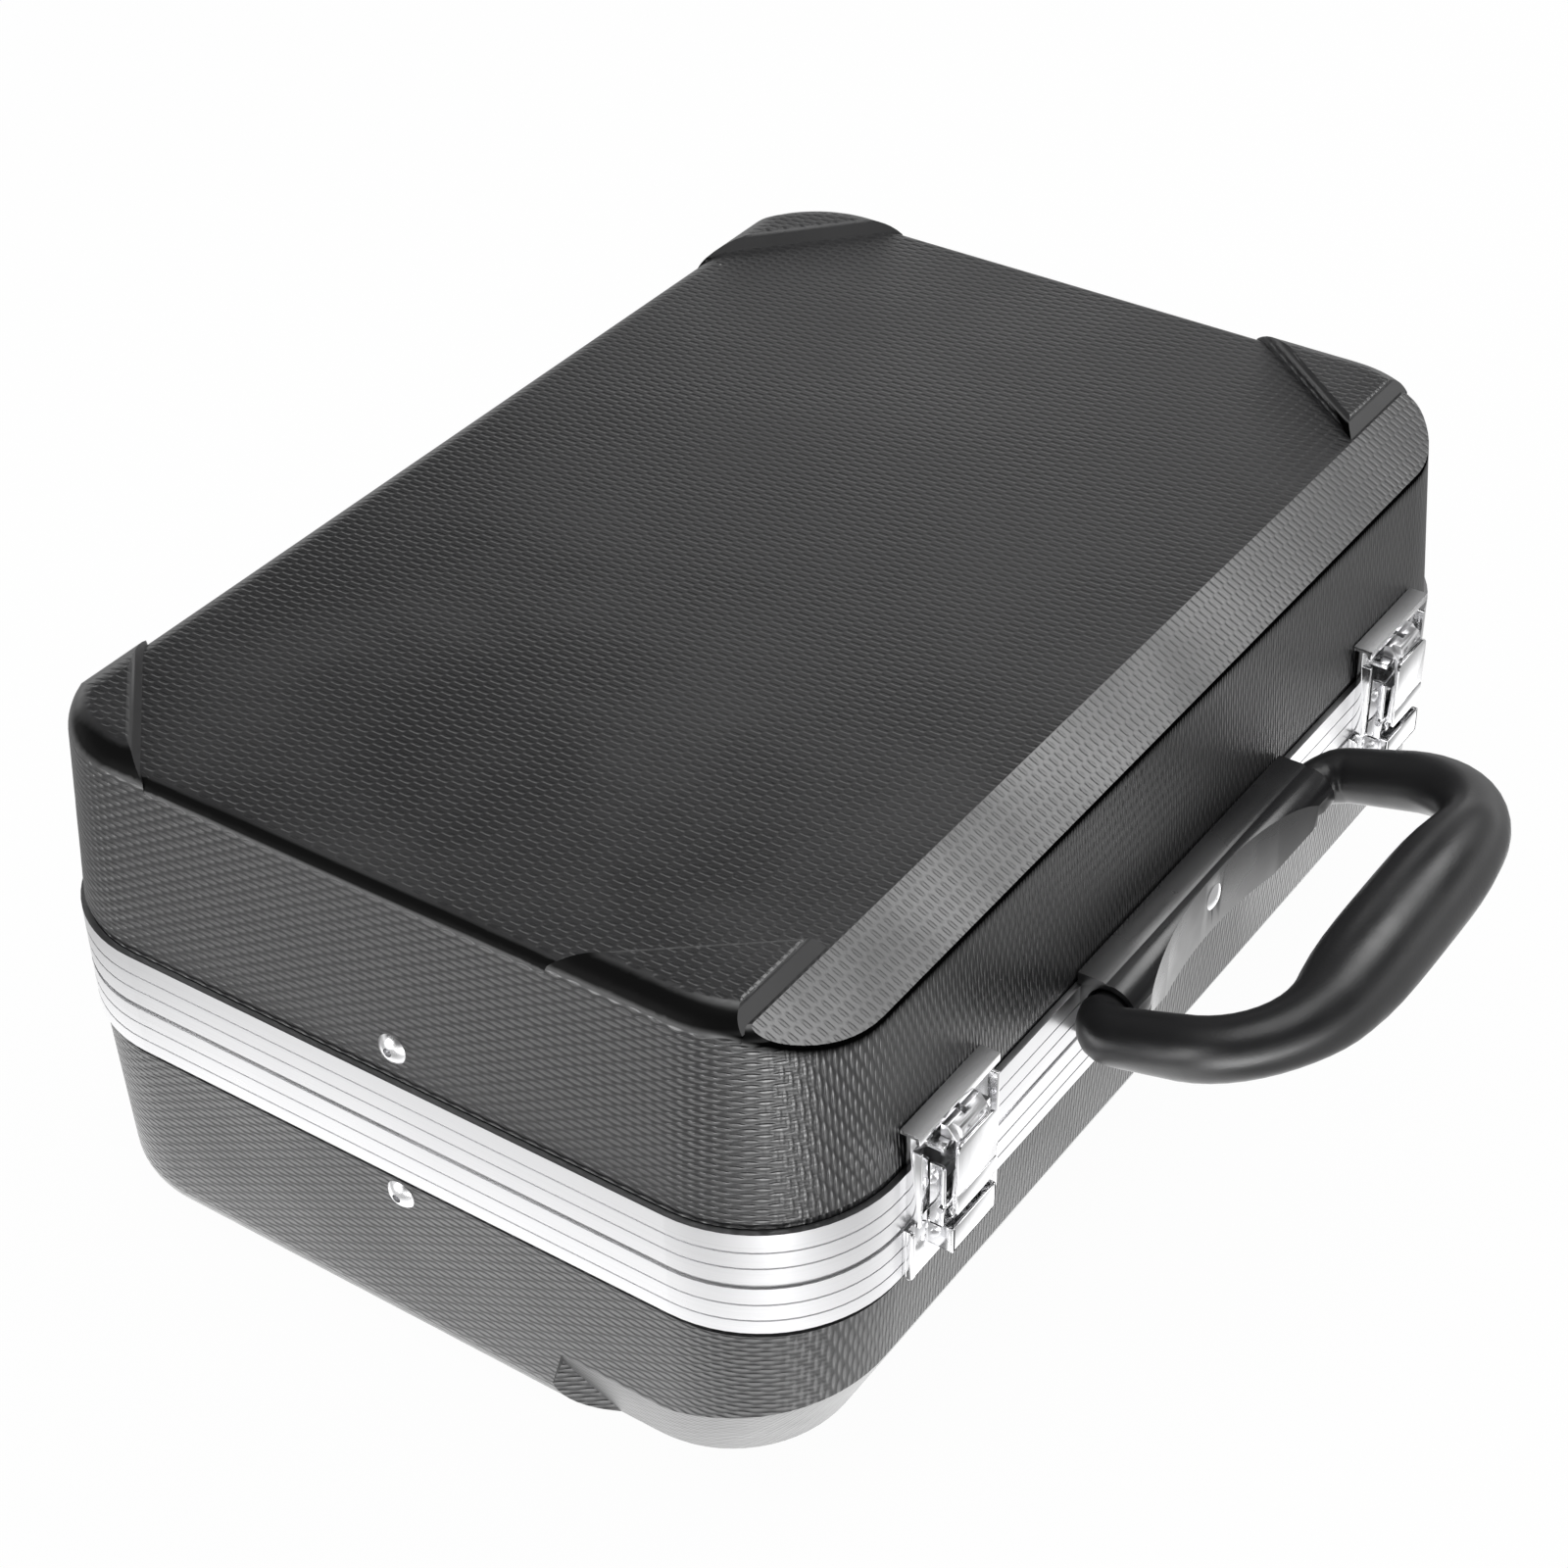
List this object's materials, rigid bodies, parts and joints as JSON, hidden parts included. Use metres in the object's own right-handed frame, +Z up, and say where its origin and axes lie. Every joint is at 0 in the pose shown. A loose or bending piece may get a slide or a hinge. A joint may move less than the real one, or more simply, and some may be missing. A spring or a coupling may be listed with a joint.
{
  "type": "pocket trumpet case",
  "caption": "Hard case with moulded black shells, a bright grooved frame, a rear-hinged lid, two draw latches, a swinging handle and a fitted inside.",
  "frame": {"origin": "middle of the flat bottom that the case rests on, centred on the shells", "axes": "+X along the long side towards the case's right as seen from the handle, -Y towards the handle and latches, +Z up"},
  "size_m": [0.3403, 0.316, 0.1517],
  "materials": {
    "shell_black": "black moulded sheet with a fine staggered lozenge emboss",
    "valance_aluminium": "satin anodised extrusion with fine grooves",
    "foam_insert": "black flocked foam",
    "lining_plush": "short black plush",
    "bright_steel": "bright plated steel",
    "zinc_steel": "zinc plated steel",
    "rivet_aluminium": "bright domed blind rivet",
    "chrome_plate": "bright nickel plating on pressed steel",
    "handle_plastic": "smooth black moulding",
    "grip_plastic": "soft black moulding with a dull sheen",
    "strap_webbing": "black woven webbing"
  },
  "bodies": {
    "base": {"base_shell": "shell_black", "base_valance": "valance_aluminium", "base_insert": "foam_insert", "hinge_rivets_base": "bright_steel", "latch_rivets_base": "bright_steel", "stay_strap": "strap_webbing", "stay_rivet_base": "rivet_aluminium", "stay_spacer_base": "zinc_steel", "stay_washer_base": "zinc_steel", "hinge_leaf_base_left": "bright_steel", "hinge_leaf_base_right": "bright_steel", "latch_base_plate_left": "chrome_plate", "latch_base_plate_right": "chrome_plate", "latch_lever_pins_left": "chrome_plate", "latch_lever_pins_right": "chrome_plate", "hinge_pin_left": "bright_steel", "hinge_pin_right": "bright_steel"},
    "lid": {"lid_shell": "shell_black", "lid_valance": "valance_aluminium", "lid_lining": "lining_plush", "lid_cushion": "lining_plush", "hinge_rivets_lid": "bright_steel", "latch_rivets_lid": "bright_steel", "handle_bracket": "handle_plastic", "handle_rivet": "bright_steel", "handle_backing_plate": "zinc_steel", "stay_rivet_lid": "rivet_aluminium", "stay_spacer_lid": "zinc_steel", "stay_washer_lid": "zinc_steel", "hinge_leaf_lid_left": "bright_steel", "hinge_leaf_lid_right": "bright_steel", "latch_catch_left": "chrome_plate", "latch_catch_right": "chrome_plate", "handle_pin_left": "zinc_steel", "handle_pin_right": "zinc_steel"},
    "handle": {"handle_grip": "grip_plastic"},
    "lever_left": {"latch_lever_left": "chrome_plate", "latch_hook_pin_left": "chrome_plate"},
    "hook_left": {"latch_hook_left": "chrome_plate"},
    "lever_right": {"latch_lever_right": "chrome_plate", "latch_hook_pin_right": "chrome_plate"},
    "hook_right": {"latch_hook_right": "chrome_plate"}
  },
  "joints": [
    {"name": "lid_hinge", "type": "hinge", "parent": "base", "child": "lid", "pos_m": [0, 0.12265, 0.0775], "axis": [-1, 0, 0], "range_deg": [0, 100], "deforming": ["stay_strap"]},
    {"name": "handle_swing", "type": "hinge", "parent": "lid", "child": "handle", "pos_m": [0, -0.1275, 0.0889], "axis": [1, 0, 0], "range_deg": [-60, 90]},
    {"name": "lever_swing_left", "type": "hinge", "parent": "base", "child": "lever_left", "pos_m": [-0.1125, -0.1241, 0.0785], "axis": [1, 0, 0], "range_deg": [0, 105]},
    {"name": "hook_swing_left", "type": "hinge", "parent": "lever_left", "child": "hook_left", "pos_m": [-0.1125, -0.12446, 0.07593], "axis": [1, 0, 0], "range_deg": [-84, 0]},
    {"name": "lever_swing_right", "type": "hinge", "parent": "base", "child": "lever_right", "pos_m": [0.1125, -0.1241, 0.0785], "axis": [1, 0, 0], "range_deg": [0, 105]},
    {"name": "hook_swing_right", "type": "hinge", "parent": "lever_right", "child": "hook_right", "pos_m": [0.1125, -0.12446, 0.07593], "axis": [1, 0, 0], "range_deg": [-84, 0]}
  ],
  "couplings": [
    {"joint": "hook_swing_left", "follows": "lever_swing_left", "ratio": -0.8},
    {"joint": "hook_swing_right", "follows": "lever_swing_right", "ratio": -0.8}
  ]
}
